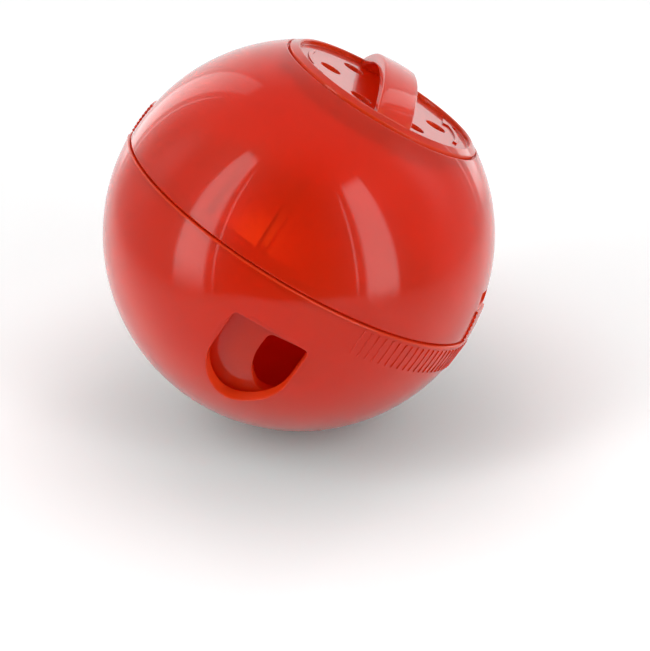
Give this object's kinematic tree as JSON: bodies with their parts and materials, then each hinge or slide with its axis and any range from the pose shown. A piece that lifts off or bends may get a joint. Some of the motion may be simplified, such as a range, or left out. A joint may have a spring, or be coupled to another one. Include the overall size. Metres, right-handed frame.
{
  "type": "cat treat ball",
  "caption": "Hollow treat ball in translucent red plastic: an inner shutter bowl turns to set the size of its windows, and a vented cap with a strap closes the filler mouth.",
  "frame": {"origin": "centre of the ball", "axes": "+Z along the ball's axis from the lower shell to the strap on the cap; -Y through the middle of the front window"},
  "size_m": [0.076, 0.076, 0.076],
  "materials": {
    "shell": "translucent glossy red, moulded",
    "bowl": "translucent glossy orange red, moulded",
    "cap": "translucent glossy red, moulded"
  },
  "bodies": {
    "lower": {"lower_shell": "shell"},
    "upper": {"shutter_bowl": "bowl", "upper_shell": "shell"},
    "cap": {"cap": "cap"}
  },
  "joints": [
    {"name": "opening_twist", "type": "hinge", "parent": "lower", "child": "upper", "pos_m": [0, 0, 0], "axis": [0, 0, 1], "range_deg": [-13, 13]},
    {"name": "cap_lift", "type": "slide", "parent": "upper", "child": "cap", "axis": [0, 0, 1], "range_m": [0, 0.025]}
  ]
}
